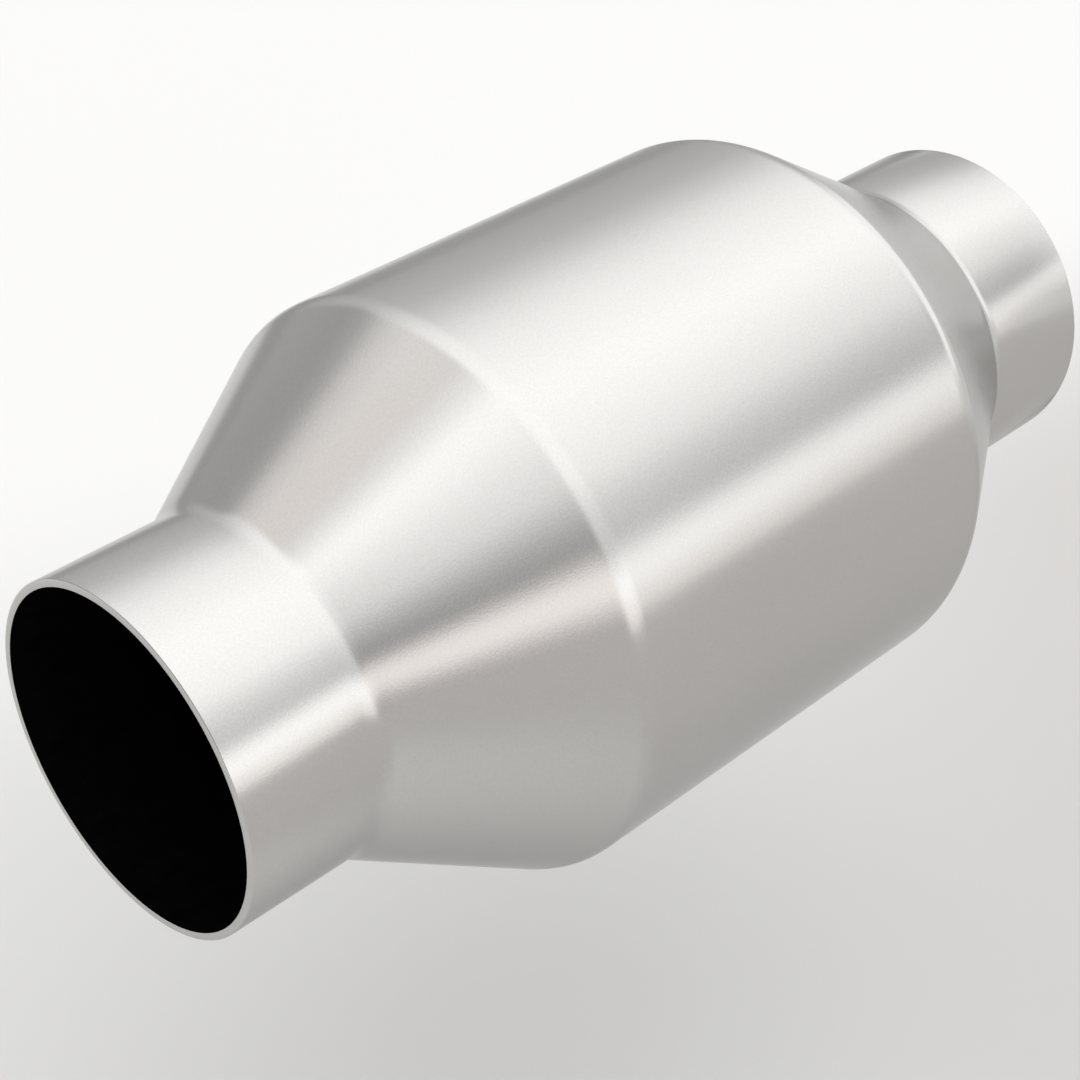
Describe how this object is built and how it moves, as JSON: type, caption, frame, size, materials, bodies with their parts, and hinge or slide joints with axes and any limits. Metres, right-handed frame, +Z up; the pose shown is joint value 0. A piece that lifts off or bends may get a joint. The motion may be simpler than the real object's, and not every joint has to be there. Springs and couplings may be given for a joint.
{
  "type": "catalytic converter",
  "caption": "Exhaust catalytic converter: a spun stainless shell with tapered ends and straight pipe necks, around a honeycomb ceramic brick held in a wrapped mat.",
  "frame": {"origin": "the middle of the converter, on its axis", "axes": "+X along the gas flow from the inlet neck to the outlet neck, +Z up as it hangs under a car"},
  "size_m": [0.2564, 0.1298, 0.1298],
  "materials": {
    "shell_steel": "satin stainless steel with a fine even grain, spun",
    "coated_ceramic": "matt unglazed ceramic with a dark grey-brown catalyst coating",
    "mat_fibre": "pressed ceramic fibre with flecks of mica",
    "knitted_wire": "fine knitted stainless wire, pressed into a ring"
  },
  "bodies": {
    "root": {"spun_shell": "shell_steel", "honeycomb_brick": "coated_ceramic", "support_mat": "mat_fibre", "inlet_wire_seal": "knitted_wire", "outlet_wire_seal": "knitted_wire"}
  },
  "joints": []
}
